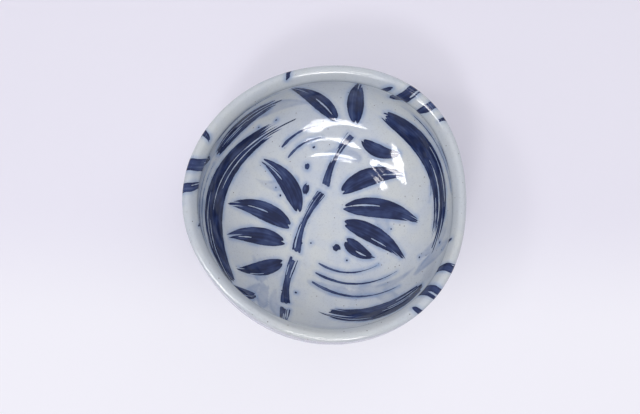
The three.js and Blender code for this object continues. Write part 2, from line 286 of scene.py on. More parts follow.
def poleFaces(firstPole, lastPole, lastRing, around, flip=False):
    # Triangles from the first ring and from the last one to a point on the axis
    faces = []
    for column in range(around):
        after = (column + 1) % around
        for face in ([firstPole, column, after], [lastRing + column, lastPole, lastRing + after]):
            faces.append(face[::-1] if flip else face)
    return faces


# Brushwork: from and to are a bearing and a distance along the clay from the middle of the floor,
# bend is how far the middle of the stroke swings to the left, all as in the solid frame

strokes = [
    ("sweep_left", (219, 63), (106, 54), 25, 13, "sweep"),
    ("sweep_right", (62, 60), (336, 55), 19, 12.5, "sweep"),
    ("sweep_low", (322, 63), (262, 44), 9, 11, "sweep"),
]
brushwork = (                # what each kind is called, the brush, and its strokes as they were laid
    ("stalk_joint", "stalk", (
        ((252, 82), (246, 50), 0.6, 5),
        ((245, 48), (229, 23), 1.4, 4.6),
        ((226, 21), (98, 15), 2.6, 4.2),
        ((93, 17), (74, 44), 2.2, 3.8),
    )),
    ("leaf", "leaf", (
        ((190, 17), (173, 50), -4, 9),
        ((208, 22), (192, 52), -3, 8.5),
        ((223, 28), (211, 53), 1.5, 7.5),
        ((162, 14), (139, 46), -5, 8.5),
        ((66, 15), (27, 45), 5, 8.5),
        ((44, 10), (356, 46), 4, 9.5),
        ((4, 7), (331, 43), 3, 8.5),
        ((84, 49), (108, 78), -3, 8.5),
        ((73, 49), (75, 81), 2, 8),
        ((67, 43), (40, 50), -3, 6.5),
    )),
    ("blade", "blade", (
        ((256, 30), (316, 49), -6, 1.7),
        ((257, 25), (322, 42), -5.5, 1.5),
        ((258, 20), (318, 32), -4, 1.3),
        ((122, 42), (94, 47), 2.5, 1.6),
        ((122, 36), (92, 41), 2.5, 1.4),
    )),
    ("drop", "dab", (
        ((284, 11), (292, 15), 0.3, 3.4),
        ((128, 17), (116, 21), 0.3, 3.2),
        ((112, 27), (108, 30), 0, 2.4),
    )),
    ("small_leaf", "leaf", (
        ((229, 54), (215, 75), 2.5, 7.5),
        ((318, 11), (322, 29), -1.5, 7),
    )),
    ("upper_sweep", "sweep", (  # on the steep of the wall
        ((154, 68.5), (111, 68.5), 4.4, 9),
    )),
    ("hair", "hair", (       # single hairs of the brush that trailed beside the broad strokes
        ((208, 72), (160, 71), 6.4, 1.2),
        ((196, 68.5), (158, 67), 3.9, 0.8),
        ((48, 72), (5, 72), 5, 1.1),
        ((30, 75.5), (352, 75), 4.4, 0.8),
        ((150, 77), (114, 77), 3.6, 1.3),
        ((136, 80), (110, 80.5), 2, 0.9),
        ((24, 56), (8, 52), 1.2, 0.8),
    )),
)
touches = (                  # where the end of the brush touched the lip, with distances from its crest
    ((154, -2), (147, 5), 0.6, 2.2),
    ((182, 1), (187, 8), -0.4, 1.9),
    ((187, -9), (192, -3), 0.5, 1.6),
    ((66, -8), (60, -2), 0.5, 2.1),
    ((36, -1), (31, 6), 0.4, 1.9),
    ((120, 1), (114, 5), 0.3, 1.8),
    ((109, -1), (103, 3), 0.3, 1.5),
    ((306, -1), (311, 6), 0.5, 2.0),
    ((338, -8), (342, -2), 0.4, 1.6),
)
splashes = (                 # drops that the brush threw: bearing, reach, size
    (218, 15, 1.5), (231, 12, 0.9), (247, 38, 1.2), (238, 41, 0.8), (201, 62, 1.0), (150, 25, 1.1),
    (146, 29, 0.8), (100, 36, 1.3), (103, 40, 0.8), (50, 56, 1.2), (44, 59, 0.8), (335, 49, 1.1),
    (344, 60, 1.4), (340, 64, 0.8), (296, 20, 0.9), (274, 46, 1.0), (118, 56, 1.2), (128, 58, 0.8),
    (262, 62, 0.9), (352, 30, 0.9),
)
splashLean = 20              # degrees that a drop turns over its length, at 1 mm from the middle
lipMarks = (                 # bearing, lean, inward and outward from the crest, width
    (163, 12, 15, 7, 5.4),
    (176, 10, 8, 12, 3.6),
    (55, -12, 14, 7, 5),
    (42, -9, 7, 12, 3.4),
    (315, 12, 14, 8, 5.2),
    (330, 10, 7, 13, 3.6),
)
sprays = (98, 268)           # bearings of the leaves outside
sprayNeck = 0.4
sprayLeaves = ((-14, 13, 34, 6.5), (0, 17, 40, 7.5), (14, 13, 32, 6))  # lean, start, length, width
footLines = ((10.5, 1.3), (14.5, 0.9))  # above the standing edge, width
washes = (                   # thin blue water under the strokes: from, to, bend, width, strength
    ((236, 62), (206, 40), -4, 8, 0.55),
    ((232, 66), (226, 44), 3, 6, 0.45),
    ((250, 62), (234, 40), 4, 5.5, 0.4),
    ((344, 70), (322, 52), -3, 7, 0.5),
    ((352, 64), (334, 46), 3, 6, 0.4),
    ((306, 60), (286, 34), -5, 7, 0.4),
    ((250, 30), (330, 50), -9, 6.5, 0.5),
    ((132, 66), (98, 60), 5, 8, 0.5),
    ((60, 34), (100, 31), -3, 6, 0.35),
    ((200, 70), (120, 66), 22, 7, 0.4),
    ((55, 72), (10, 72), 7, 3.5, 0.3),
    ((120, 26), (150, 40), 4, 6, 0.4),
    ((20, 22), (330, 28), 4, 6.5, 0.4),
)
for kind, brush, rows in brushwork:
    for number, (start, end, bend, width) in enumerate(rows, 1):
        strokes.append((f"{kind}_{number}", start, end, bend, width, brush))
for number, (start, end, bend, width) in enumerate(touches, 1):
    start, end = (start[0], clay.crest + start[1]), (end[0], clay.crest + end[1])
    strokes.append((f"touch_{number}", start, end, bend, width, "dab"))
for number, (bearing, reach, size) in enumerate(splashes, 1):
    end = (bearing + splashLean / reach, reach + size)
    strokes.append((f"splash_{number}", (bearing, reach), end, 0, size, "dab"))
for number, (bearing, lean, inward, outward, width) in enumerate(lipMarks, 1):
    start, end = (bearing - lean / 2, clay.crest - inward), (bearing + lean / 2, clay.crest + outward)
    strokes.append((f"lip_mark_{number}", start, end, 0, width, "dab"))
sprayPlaces = [(bearing, *leaf) for bearing in sprays for leaf in sprayLeaves]
for number, (bearing, lean, first, long, width) in enumerate(sprayPlaces, 1):
    start = (bearing + lean * sprayNeck, clay.crest + first)
    end = (bearing + lean, clay.crest + first + long)
    strokes.append((f"outside_leaf_{number}", start, end, 0, width, "leaf"))


def swell(share, lead, fullness):
    return np.sin(math.pi * np.clip(share, 0, 1) ** lead) ** fullness


# Width along the stroke, pigment that the brush carries, and where it begins and ends to run dry
# and how dry it gets
brushes = {
    "sweep": (lambda s: swell(s, 0.7, 0.5), 1.08, (0.5, 1.08, 0.86)),
    "leaf": (lambda s: swell(s, 0.7, 0.9), 1.0, (0.4, 1.1, 0.66)),
    "blade": (lambda s: (1 - s) ** 0.6 * np.minimum(1, 0.5 + 4 * s), 0.74, (0.4, 1.1, 0.5)),
    "stalk": (lambda s: 0.82 + 0.18 * np.cos(2 * math.pi * s), 0.86, (0.1, 1.1, 0.5)),
    "dab": (lambda s: swell(np.clip(s, 0.04, 0.96), 1, 0.5), 0.96, (0.3, 1.1, 0.5)),
    "hair": (lambda s: (1 - s) ** 0.7 * np.minimum(1, 0.25 + 7 * s), 0.8, (0.35, 1.1, 0.55)),
    "line": (lambda s: 1 + 0 * s, 0.78, (0.3, 1.1, 0.35)),
}

partings = {                 # tongues that the hairs part into at the start and at the end, lengths, slits
    "sweep": (5, 4.0, 5, 8.0, 5),
    "leaf": (2, 1.8, 3, 3.4, 1),
    "blade": (1, 0.0, 1, 0.0, 0),
    "stalk": (3, 1.6, 3, 1.2, 2),
    "dab": (3, 2.2, 3, 3.6, 1),
    "hair": (1, 0.0, 1, 0.0, 0),
}
parted = {
    "stray": 0.28,           # how far a tongue's side wanders, as a share of its width
    "overlap": 0.12,         # millimetres
    "behind": 0.6,           # millimetres behind the tongues from where all is painted
    "slitMiddles": (0.24, 0.62, 0.8),  # shares of the stroke's length
    "slitStray": 0.1,
    "slitLength": (0.22, 0.44),
    "slitSide": 0.36,        # share of its width
    "slitHalf": (0.2, 0.38),  # millimetres
    "slitStroke": 3.5,       # millimetres wide, and a narrower stroke has none
    "slitless": 9.0,         # distance given where there is none
    "longStroke": 20.0,      # millimetres, and a shorter stroke has shorter tongues
}
dice = np.random.default_rng(26)

wetPaint = {                 # millimetres
    "margin": 0.6,           # glaze that each stroke's piece carries round the paint
    "lift": 0.014,
    "relief": 0.014,         # how far the pigment stands up
    "full": 0.5,             # inside its edge, where it stands at its full height
    "sunk": 0.12,
    "tip": 0.7,
    "nearAxis": 0.2,         # least distance from the axis that a stroke's bend is worked out for
    "tooDry": 0.55,          # share of dryness from which paint doesn't bleed
    "ownGrain": (137.0, 23.0),  # from the streaks of one stroke to those of the next
    "crease": 50.0,          # degrees
}


def flatPlace(place):
    bearing, reach = math.radians(place[0]), place[1]
    return np.array([reach * math.cos(bearing), reach * math.sin(bearing)])


def partedEnd(fromEnd, across, width, count, longest):
    # How far inside the end of the stroke each place is, where its hairs parted into rounded tongues
    cuts = np.linspace(-0.5, 0.5, count + 1) * width
    cuts[1:-1] += dice.uniform(-parted["stray"], parted["stray"], count - 1) * width / count
    inside = fromEnd - longest - parted["behind"]
    for low, high, short in zip(cuts, cuts[1:], dice.uniform(0, longest, count)):
        half = (high - low) / 2 + parted["overlap"]
        beyond = np.minimum(fromEnd - short - half, 0)
        inside = np.maximum(inside, half - np.hypot(beyond, across - (low + high) / 2))
    return inside


def slits(run, across, long, width, count):
    # Millimetres to the nearest long slit that parted hairs left bare
    gap = np.full(run.shape, parted["slitless"])
    stray, side = parted["slitStray"], parted["slitSide"]
    for _ in range(count):
        middle = (dice.choice(parted["slitMiddles"]) + dice.uniform(-stray, stray)) * long
        length = dice.uniform(*parted["slitLength"]) * long
        aside = dice.uniform(-side, side) * width
        half = dice.uniform(*parted["slitHalf"])
        room = 1 - ((run - middle) / (length / 2)) ** 2
        toSlit = np.abs(across - aside) - half * np.sqrt(np.clip(room, 0, 1))
        gap = np.minimum(gap, np.where(room > 0, toSlit, parted["slitless"]))
    return gap


def strokeGrid(start, end, bend, width, brush):
    # Reach, bearing, run along, place across and distance inside the painted edge, row by row
    overLip = start[1] < clay.crest + meshGrain["lipNear"] and end[1] > clay.crest - meshGrain["lipNear"]
    start, end = flatPlace(start), flatPlace(end)
    grain, margin = meshGrain["lipStroke" if overLip else "stroke"], wetPaint["margin"]
    way = (end - start) / np.linalg.norm(end - start)
    control = (start + end) / 2 + np.array([-way[1], way[0]]) * 2 * bend
    count = math.ceil(np.linalg.norm(control - start) * 2 / grain) + 1
    share = np.linspace(0, 1, count)
    s = share[:, None]
    place = (1 - s) ** 2 * start + 2 * s * (1 - s) * control + s ** 2 * end
    along = 2 * (1 - s) * (control - start) + 2 * s * (end - control)
    along /= np.linalg.norm(along, axis=1)[:, None]
    run = np.concatenate([[0], np.cumsum(np.linalg.norm(np.diff(place, axis=0), axis=1))])
    before = np.arange(math.ceil(margin / grain), 0, -1) * grain
    after = before[::-1]
    lead, trail = place[0] - along[0] * before[:, None], place[-1] + along[-1] * after[:, None]
    place = np.concatenate([lead, place, trail])
    along = np.concatenate([along[:1]] * len(before) + [along] + [along[-1:]] * len(after))
    long = run[-1]
    run = np.concatenate([-before, run, long + after])
    share = np.concatenate([0 * before, share, 1 + 0 * after])
    half = width * brushes[brush][0](share) / 2
    reachOut = np.maximum(half, wetPaint["tip"] / 2) + margin
    columns = math.ceil((width + 2 * margin) / meshGrain["acrossStroke"]) + 1
    across = np.linspace(-1, 1, columns)[None, :] * reachOut[:, None]
    far = np.maximum(np.linalg.norm(place, axis=1), wetPaint["nearAxis"])[:, None]
    outward = place / far
    roundWay = np.stack([-outward[:, 1], outward[:, 0]], axis=1)
    squeeze = np.minimum(1, clay.at(far[:, 0], 0)[0] / far[:, 0])
    direct = np.sum(along * outward, axis=1)
    sideways = np.sum(along * roundWay, axis=1) * squeeze
    size = np.hypot(direct, sideways)
    stepOut = (-sideways / size)[:, None] * across
    stepRound = (direct / size / squeeze)[:, None] * across
    flat = place[:, None, :] + outward[:, None, :] * stepOut[..., None]
    flat = flat + roundWay[:, None, :] * stepRound[..., None]
    startTongues, startLength, endTongues, endLength, slitCount = partings[brush]
    scale = min(1, long / parted["longStroke"])
    combed = across * (reachOut.max() / reachOut)[:, None]  # hairs draw together where the stroke narrows
    first = partedEnd(run[:, None], combed, width, startTongues, startLength * scale)
    last = partedEnd((long - run)[:, None], combed, width, endTongues, endLength * scale)
    edge = np.minimum(half[:, None] - np.abs(across), np.minimum(first, last))
    if width > parted["slitStroke"]:
        edge = np.minimum(edge, slits(run[:, None] + 0 * combed, combed, long, width, slitCount))
    return {
        "reach": np.linalg.norm(flat, axis=2),
        "bearing": np.arctan2(flat[..., 1], flat[..., 0]),
        "run": np.repeat(run[:, None], columns, 1),
        "across": across,
        "share": np.repeat(share[:, None], columns, 1),
        "edge": edge,
    }


def footLineGrid(above, width):
    # A line run round the outside with the bowl turning on the wheel
    margin = wetPaint["margin"]
    middle = clay.length - above - width / 2
    columns = math.ceil((width + 2 * margin) / meshGrain["stroke"]) + 1
    across = np.linspace(-1, 1, columns) * (width / 2 + margin)
    bearing = allRound(meshGrain["around"])
    radius = clay.at(middle, 0)[0]
    whole = np.ones((len(bearing), columns))
    return {
        "reach": whole * (middle - across),
        "bearing": whole * bearing[:, None],
        "run": whole * bearing[:, None] * radius,
        "across": whole * across,
        "share": whole * (bearing / (2 * math.pi))[:, None],
        "edge": whole * (width / 2 - np.abs(across)),
    }


painted = {}
for name, start, end, bend, width, brush in strokes:
    painted[name] = (brush, strokeGrid(start, end, bend, width, brush))
for number, (above, width) in enumerate(footLines, 1):
    painted[f"foot_line_{number}"] = ("line", footLineGrid(above, width))


def dryness(brush, grid):
    dryFrom, dryTo, driest = brushes[brush][2]
    return smooth(grid["share"], dryFrom, dryTo) * driest


def treeOf(places):
    tree = kdtree.KDTree(len(places))
    for i, place in enumerate(places):
        tree.insert(place, i)
    tree.balance()
    return tree


# Every wet place in one tree, for the blue that bleeds out into the glaze
paintedPlaces = []
for brush, grid in painted.values():
    inside = (grid["edge"] >= 0) & (dryness(brush, grid) < wetPaint["tooDry"])
    paintedPlaces.append(onGlaze(grid["reach"][inside], grid["bearing"][inside]))
paintTree = treeOf(np.concatenate(paintedPlaces))


def fromPaint(points):
    # Millimetres to the nearest paint
    return np.array([paintTree.find(point)[2] for point in points]) / mm


poolAndShade = {                 # grey of glaze pooled in the groove plus painted shade there and on the lip: shares of it, and millimetres in from the crest
    "groove": 0.46,
    "grooveBegins": (1.5, 6.4),
    "grooveThins": (6.6, 10.0),
    "thinned": 0.75,
    "grooveEnds": (12.0, 30.0),
    "lip": 0.2,
    "overLip": (-9.0, -3.0, 3.0, 6.0),
}


def poolGreyAndShadeAt(reach):
    # Painted shade, deepest in the groove under the lip, where the glaze also ran together and greys it, and
    # a little painted shade over the lip
    inside = clay.crest - reach
    groove = poolAndShade["groove"] * smooth(inside, *poolAndShade["grooveBegins"])
    groove = groove * (1 - poolAndShade["thinned"] * smooth(inside, *poolAndShade["grooveThins"]))
    groove = groove * (1 - smooth(inside, *poolAndShade["grooveEnds"]))
    return np.maximum(groove, poolAndShade["lip"] * within(inside, *poolAndShade["overLip"]))


washEdge = {                 # millimetres
    "soft": 0.6,
    "rimInside": 0.9,        # where the water dried last and left more blue
    "rimWide": 0.7,
    "rimShare": 0.4,
}
washPlaces, washHalves, washStrengths = [], [], []
for start, end, bend, width, strength in washes:
    grid = strokeGrid(start, end, bend, width, "leaf")
    line = grid["reach"].shape[1] // 2
    inside = (grid["run"][:, line] >= 0) & (grid["edge"][:, line] > 0)
    washPlaces.append(onGlaze(grid["reach"][inside, line], grid["bearing"][inside, line]))
    washHalves.append(width / 2 * brushes["leaf"][0](grid["share"][inside, line]))
    washStrengths.append(np.full(inside.sum(), strength))
washTree = treeOf(np.concatenate(washPlaces))
washHalves, washStrengths = np.concatenate(washHalves), np.concatenate(washStrengths)


def washAt(points):
    # How much thin blue lies at each place
    found = [washTree.find(point) for point in points]
    nearest = np.array([hit[1] for hit in found])
    past = np.array([hit[2] for hit in found]) / mm - washHalves[nearest]
    rim = np.exp(-((past + washEdge["rimInside"]) / washEdge["rimWide"]) ** 2) * washEdge["rimShare"]
    return washStrengths[nearest] * ((1 - smooth(past, -washEdge["soft"], washEdge["soft"])) + rim)


print("strokes laid out:", len(painted))


# Materials

def linear(hexColour):
    parts = [int(hexColour[i:i + 2], 16) / 255 for i in (0, 2, 4)]
    return [part / 12.92 if part <= 0.04045 else ((part + 0.055) / 1.055) ** 2.4 for part in parts] + [1]


def plug(tree, node, sockets):
    # Links what comes from another node and sets what is a plain value
    for name, value in sockets.items():
        if isinstance(value, bpy.types.NodeSocket):
            tree.links.new(value, node.inputs[name])
        else:
            node.inputs[name].default_value = value


def addNode(tree, kind, sockets, **settings):
    node = tree.nodes.new("ShaderNode" + kind)
    for name, value in settings.items():
        setattr(node, name, value)
    plug(tree, node, sockets)
    return node


def newMaterial(name):
    material = bpy.data.materials.new(name)
    material.use_nodes = True
    tree = material.node_tree
    return material, tree, tree.nodes["Principled BSDF"]


def carried(tree, name, output="Fac"):
    # A value that the points of the pieces carry
    return addNode(tree, "Attribute", {}, attribute_name=name).outputs[output]


def placeOn(tree):
    return addNode(tree, "TexCoord", {}).outputs["Object"]


def fade(tree, value, low, high, bottom=0.0, top=1.0):
    node = addNode(tree, "MapRange", {"Value": value, "From Min": low, "From Max": high,
                                      "To Min": bottom, "To Max": top}, interpolation_type="SMOOTHSTEP")
    return node.outputs["Result"]


def sums(tree, operation, first, second):
    return addNode(tree, "Math", {0: first, 1: second}, operation=operation).outputs[0]


def times(tree, first, second):
    return sums(tree, "MULTIPLY", first, second)


def evenly(size):
    # The scale for grains of one size, in millimetres, along all three axes
    return [1 / (size * mm)] * 3


def grained(tree, place, scale, detail=2.0, roughness=0.5):
    # Noise; scale is one over the size of its grains, for each axis
    scaled = addNode(tree, "Mapping", {"Vector": place, "Scale": scale})
    noise = addNode(tree, "TexNoise", {"Vector": scaled.outputs[0], "Scale": 1.0, "Detail": detail,
                                       "Roughness": roughness})
    return noise.outputs["Fac"]


def mixColour(tree, factor, first, second):
    first, second = (linear(colour) if isinstance(colour, str) else colour for colour in (first, second))
    return addNode(tree, "Mix", {0: factor, 6: first, 7: second}, data_type="RGBA").outputs[2]


glazeLook = {
    "body": "d0d6da",        # porcelain seen through the glaze
    "warm": "cfd3d2",
    "cool": "c8d0db",
    "bleed": "92a7c9",       # cobalt that runs into the glaze while it melts
    "bleedReach": 2.8,       # millimetres
    "bleedFall": 1.6,
    "wash": "b4c0d6",
    "washReach": 11.0,
    "washShare": 0.3,
    "water": "8798ba",       # cobalt thinned with water
    "damp": 7.0,             # millimetres across a place where the blue ran more or less
    "speck": "4d4548",       # iron
    "speckCell": 2.9,        # millimetres from speck to speck
    "speckShare": 0.85,
    "dust": 0.9,             # millimetres, the faint mottle of iron dust
    "dustShare": 0.2,
    "grey": "7f8a92",        # painted shade on the lip and, darker, in the groove under it, where the glaze also pooled
    "patch": 26.0,           # millimetres across a cloud of tone
    "roughness": 0.065,
    "rippleSize": 3.2,       # millimetres
    "ripple": 0.0035,
    "refraction": 1.5,
}


def glazeGround(tree, place):
    look = glazeLook
    near = carried(tree, "near")
    clouds = grained(tree, place, evenly(look["patch"]), 3.0)
    colour = mixColour(tree, fade(tree, clouds, 0.35, 0.65), look["warm"], look["cool"])
    colour = mixColour(tree, 0.5, colour, look["body"])
    damp = grained(tree, place, evenly(look["damp"]), 3.0)
    washed = times(tree, fade(tree, near, look["washReach"], 0.0), fade(tree, damp, 0.42, 0.62))
    colour = mixColour(tree, times(tree, washed, look["washShare"]), colour, look["wash"])
    water = times(tree, carried(tree, "wash"), fade(tree, damp, 0.3, 0.7, 0.55, 1.1))
    colour = mixColour(tree, water, colour, look["water"])
    bled = sums(tree, "POWER", fade(tree, near, look["bleedReach"], 0.0), look["bleedFall"])
    bled = times(tree, bled, fade(tree, damp, 0.3, 0.7, 0.35, 0.95))
    colour = mixColour(tree, bled, colour, look["bleed"])
    cells = addNode(tree, "Mapping", {"Vector": place, "Scale": evenly(look["speckCell"])})
    cell = addNode(tree, "TexVoronoi", {"Vector": cells.outputs[0], "Scale": 1.0})
    chance = addNode(tree, "SeparateColor", {"Color": cell.outputs["Color"]})
    grit = times(tree, fade(tree, cell.outputs["Distance"], 0.12, 0.05),
                 fade(tree, chance.outputs["Red"], 0.45, 0.55))
    dust = grained(tree, place, evenly(look["dust"]), 3.0, 0.7)
    colour = mixColour(tree, fade(tree, dust, 0.5, 0.8, 0.0, look["dustShare"]), colour, look["speck"])
    # painted shade: grey over the lip and in the groove under it, with the grey of the glaze pooled there
    colour = mixColour(tree, carried(tree, "grey"), colour, look["grey"])
    return mixColour(tree, times(tree, grit, look["speckShare"]), colour, look["speck"])


def glazeSurface(tree, shader, place, colour):
    # Fired glaze: hard, wet-looking and very slightly rippled
    ripple = grained(tree, place, evenly(glazeLook["rippleSize"]), 1.0)
    bump = addNode(tree, "Bump", {"Height": ripple, "Strength": 1.0, "Distance": glazeLook["ripple"] * mm})
    plug(tree, shader, {"Base Color": colour, "Normal": bump.outputs[0], "Roughness": glazeLook["roughness"],
                        "IOR": glazeLook["refraction"]})


def clearGlazeOnPorcelain():
    # Dipped transparent glaze over thrown porcelain: a cool grey-blue white with a hard, wet shine
    material, tree, shader = newMaterial("clear glaze, dipped")
    place = placeOn(tree)
    glazeSurface(tree, shader, place, glazeGround(tree, place))
    return material


cobaltLook = {
    "ramp": ((0.0, "b9c4d8"), (0.16, "a3b1cb"), (0.36, "8090b0"), (0.56, "42527c"), (0.78, "293660"),
             (1.0, "1e2645")),
    "bristles": (30.0, 0.95),  # millimetres along a hair's track, and across, coarser than the hairs are
    "pools": (9.0, 5.0),
    "fray": (3.5, 2.2),
    "frayed": 0.7,           # millimetres
    "rim": 0.14,             # pigment that gathered along the edge
}


def streaked(tree, track, size, detail, roughness=0.5):
    # Noise drawn out along a stroke, with its size along it and across it
    return grained(tree, track, [1 / size[0], 1 / size[1], 0], detail, roughness)


def brushedCobalt(name):
    # Cobalt oxide brushed on raw clay: navy where it pooled, streaked where the hairs ran dry
    material, tree, shader = newMaterial(name)
    look = cobaltLook
    place, edge, track = placeOn(tree), carried(tree, "edge"), carried(tree, "track", "Vector")
    hair = streaked(tree, track, look["bristles"], 1.0)
    pools = streaked(tree, track, look["pools"], 2.0)
    fray = streaked(tree, track, look["fray"], 4.0, 0.62)
    ragged = times(tree, sums(tree, "SUBTRACT", fray, 0.5), look["frayed"])
    inside = fade(tree, sums(tree, "ADD", edge, ragged), -0.1, 0.14)
    limit = fade(tree, carried(tree, "dry"), 0.0, 1.0, 0.78, 0.38)
    wet = fade(tree, sums(tree, "SUBTRACT", limit, hair), -0.05, 0.05)
    tone = fade(tree, pools, 0.3, 0.68, 1.06, 0.7)
    streaks = fade(tree, hair, 0.3, 0.7, 1.04, 0.85)
    depth = times(tree, times(tree, carried(tree, "load"), tone), streaks)
    rim = times(tree, fade(tree, edge, 1.0, 0.1), look["rim"])
    depth = sums(tree, "ADD", depth, rim)
    depth = times(tree, depth, times(tree, inside, wet))
    ramp = addNode(tree, "ValToRGB", {"Fac": depth})
    ramp.color_ramp.interpolation = "B_SPLINE"
    stops = ramp.color_ramp.elements
    while len(stops) < len(look["ramp"]):
        stops.new(0.5)
    for stop, (at, colour) in zip(stops, look["ramp"]):
        stop.position = at
        stop.color = linear(colour)
    ground = glazeGround(tree, place)
    colour = mixColour(tree, fade(tree, depth, 0.0, 0.2), ground, ramp.outputs["Color"])
    glazeSurface(tree, shader, place, colour)
    return material


bareLook = {
    "pale": "e9e4da",
    "shade": "dcd3c5",
    "patch": 9.0,            # millimetres
    "grit": "c4b6a4",
    "gritSize": 0.35,        # millimetres, drawn as coarse as it needs to show
    "gritHeight": 0.03,
    "roughness": 0.72,
    "refraction": 1.5,
}
slipLook = {
    "pale": "dcd6cb",
    "shade": "cbc2b3",
    "grit": 0.6,             # millimetres
    "roughness": 0.8,
}


def firedPorcelain():
    # Trimmed porcelain left bare: dry and chalky, with a fine grit
    material, tree, shader = newMaterial("porcelain, trimmed and bare")
    look, place = bareLook, placeOn(tree)
    clouds = grained(tree, place, evenly(look["patch"]), 4.0)
    grain = grained(tree, place, evenly(look["gritSize"]), 2.0)
    colour = mixColour(tree, fade(tree, clouds, 0.35, 0.65), look["pale"], look["shade"])
    colour = mixColour(tree, fade(tree, grain, 0.6, 0.75, 0.0, 0.4), colour, look["grit"])
    bump = addNode(tree, "Bump", {"Height": grain, "Strength": 1.0, "Distance": look["gritHeight"] * mm})
    plug(tree, shader, {"Base Color": colour, "Normal": bump.outputs[0], "Roughness": look["roughness"],
                        "IOR": look["refraction"]})
    return material


def firedSlip():
    # Slip, a wet clay paste that set hard in the joint: darker and rougher than the body
    material, tree, shader = newMaterial("slip, fired")
    grain = grained(tree, placeOn(tree), evenly(slipLook["grit"]), 3.0)
    colour = mixColour(tree, fade(tree, grain, 0.3, 0.7), slipLook["pale"], slipLook["shade"])
    plug(tree, shader, {"Base Color": colour, "Roughness": slipLook["roughness"]})
    return material


glazed = clearGlazeOnPorcelain()
cobalt = brushedCobalt("cobalt, brushed")
thinCobalt = brushedCobalt("cobalt, brushed thin")
bareClay = firedPorcelain()
slip = firedSlip()
for node, material in (("clay_body", bareClay), ("foot_slip_seam", slip)):
    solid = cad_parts[node]
    solid.data.materials.clear()
    solid.data.materials.append(material)
print("materials made")


# The glaze coat, from the middle of the floor over the lip to the foot, and back inside it

def rowsOfGlaze():
    grain, rows = meshGrain, [0.0]
    while rows[-1] < clay.length:
        toLip, toEnd = abs(rows[-1] - clay.crest), clay.length - rows[-1]
        step = grain["lipRow"] + grain["rowGrowth"] * max(0, toLip - grain["lipReach"])
        step = min(step, grain["wallRow"], max(grain["endRow"], toEnd * grain["endShare"]))
        rows.append(rows[-1] + step)
    rows[-1] = clay.length
    return np.array(rows)


def roundEdge(left, thinnest):
    # Share of its thickness that a coat has, where it ends in a round edge
    return np.sqrt(np.clip(1 - (1 - left) ** 2, thinnest, 1))


def endOfCoat(reach, thick, roundness):
    return thick * roundEdge(np.clip((clay.length - reach) / roundness, 0, 1), coat["thinnest"])


def pouredGlaze():
    outer = rowsOfGlaze()
    inner = np.linspace(clay.length, 0, meshGrain["underRows"])
    around = meshGrain["around"]
    reach, turn = np.meshgrid(outer[1:], allRound(around), indexing="ij")
    thick = coat["top"] + wheelMarks(reach, turn)
    x, z = clay.at(reach, endOfCoat(reach, thick, coat["endRound"]))
    top = byHand(x, turn, z).reshape(-1, 3)
    back, turnBack = np.meshgrid(inner[:-1], allRound(around), indexing="ij")
    x, z = clay.at(back, endOfCoat(back, coat["seat"], coat["underRound"]) * coat["underShare"])
    under = byHand(x, turnBack, z).reshape(-1, 3)
    poles = np.array([onGlaze(0, 0), byHand(0, 0, clay.at(0, coat["seat"])[1])]).reshape(-1, 3)
    points = np.concatenate([top, under, poles])
    rings = len(outer) - 1 + len(inner) - 1
    faces = ringFaces(rings, around)
    faces += poleFaces(len(points) - 2, len(points) - 1, (rings - 1) * around, around)
    hidden = np.zeros(len(under) + 2)
    return makePiece("poured_glaze", points, faces, glazed, ["glaze_coat"], {
        "near": np.concatenate([fromPaint(top), hidden + coat["paintless"]]),
        "wash": np.concatenate([washAt(top), hidden]),
        "grey": np.concatenate([poolGreyAndShadeAt(reach).ravel(), hidden]),
    })


pouredGlaze()
print("glaze coat made")


def paintStroke(name, brush, grid, number):
    rows, columns = grid["reach"].shape
    closedRound = brush == "line"
    rise = wetPaint["relief"] * smooth(grid["edge"], -wetPaint["margin"], wetPaint["full"])
    top = onGlaze(grid["reach"], grid["bearing"], wetPaint["lift"] + rise).reshape(-1, 3)
    sunk = onGlaze(grid["reach"], grid["bearing"], -wetPaint["sunk"]).reshape(-1, 3)
    upper = rows * columns
    faces = []

    def at(row, column):
        return row % rows * columns + column  # the last row of a line round the bowl meets the first

    for row in range(rows if closedRound else rows - 1):
        for column in range(columns - 1):
            quad = [at(row, column), at(row + 1, column), at(row + 1, column + 1), at(row, column + 1)]
            faces.append(quad)
            faces.append([corner + upper for corner in reversed(quad)])
        for column, order in ((0, -1), (columns - 1, 1)):
            a, b = at(row, column), at(row + 1, column)
            faces.append([a, b, b + upper, a + upper][::-order])
    if not closedRound:
        for row, order in ((0, 1), (rows - 1, -1)):
            for column in range(columns - 1):
                a, b = at(row, column), at(row, column + 1)
                faces.append([a, b, b + upper, a + upper][::-order])
    along, across = (step * number for step in wetPaint["ownGrain"])
    track = np.stack([grid["run"] + along, grid["across"] + across, grid["share"]], axis=-1)
    facts = {
        "track": track.reshape(-1, 3),
        "edge": grid["edge"].ravel(),
        "dry": dryness(brush, grid).ravel(),
        "load": np.full(upper, brushes[brush][1]),
        "near": fromPaint(top),
        "wash": washAt(top),
        "grey": poolGreyAndShadeAt(grid["reach"]).ravel(),
    }
    facts = {fact: np.concatenate([values] * 2) for fact, values in facts.items()}
    thin = brush in ("blade", "hair")
    nodes = [name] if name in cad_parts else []
    return makePiece("brushed_" + name, np.concatenate([top, sunk]), faces, thinCobalt if thin else cobalt,
                     nodes, facts, creases=wetPaint["crease"])


for number, (name, (brush, grid)) in enumerate(painted.items()):
    paintStroke(name, brush, grid, number)
print("brushwork made")


# The foot: a trimmed ring left bare, and the glaze in its well

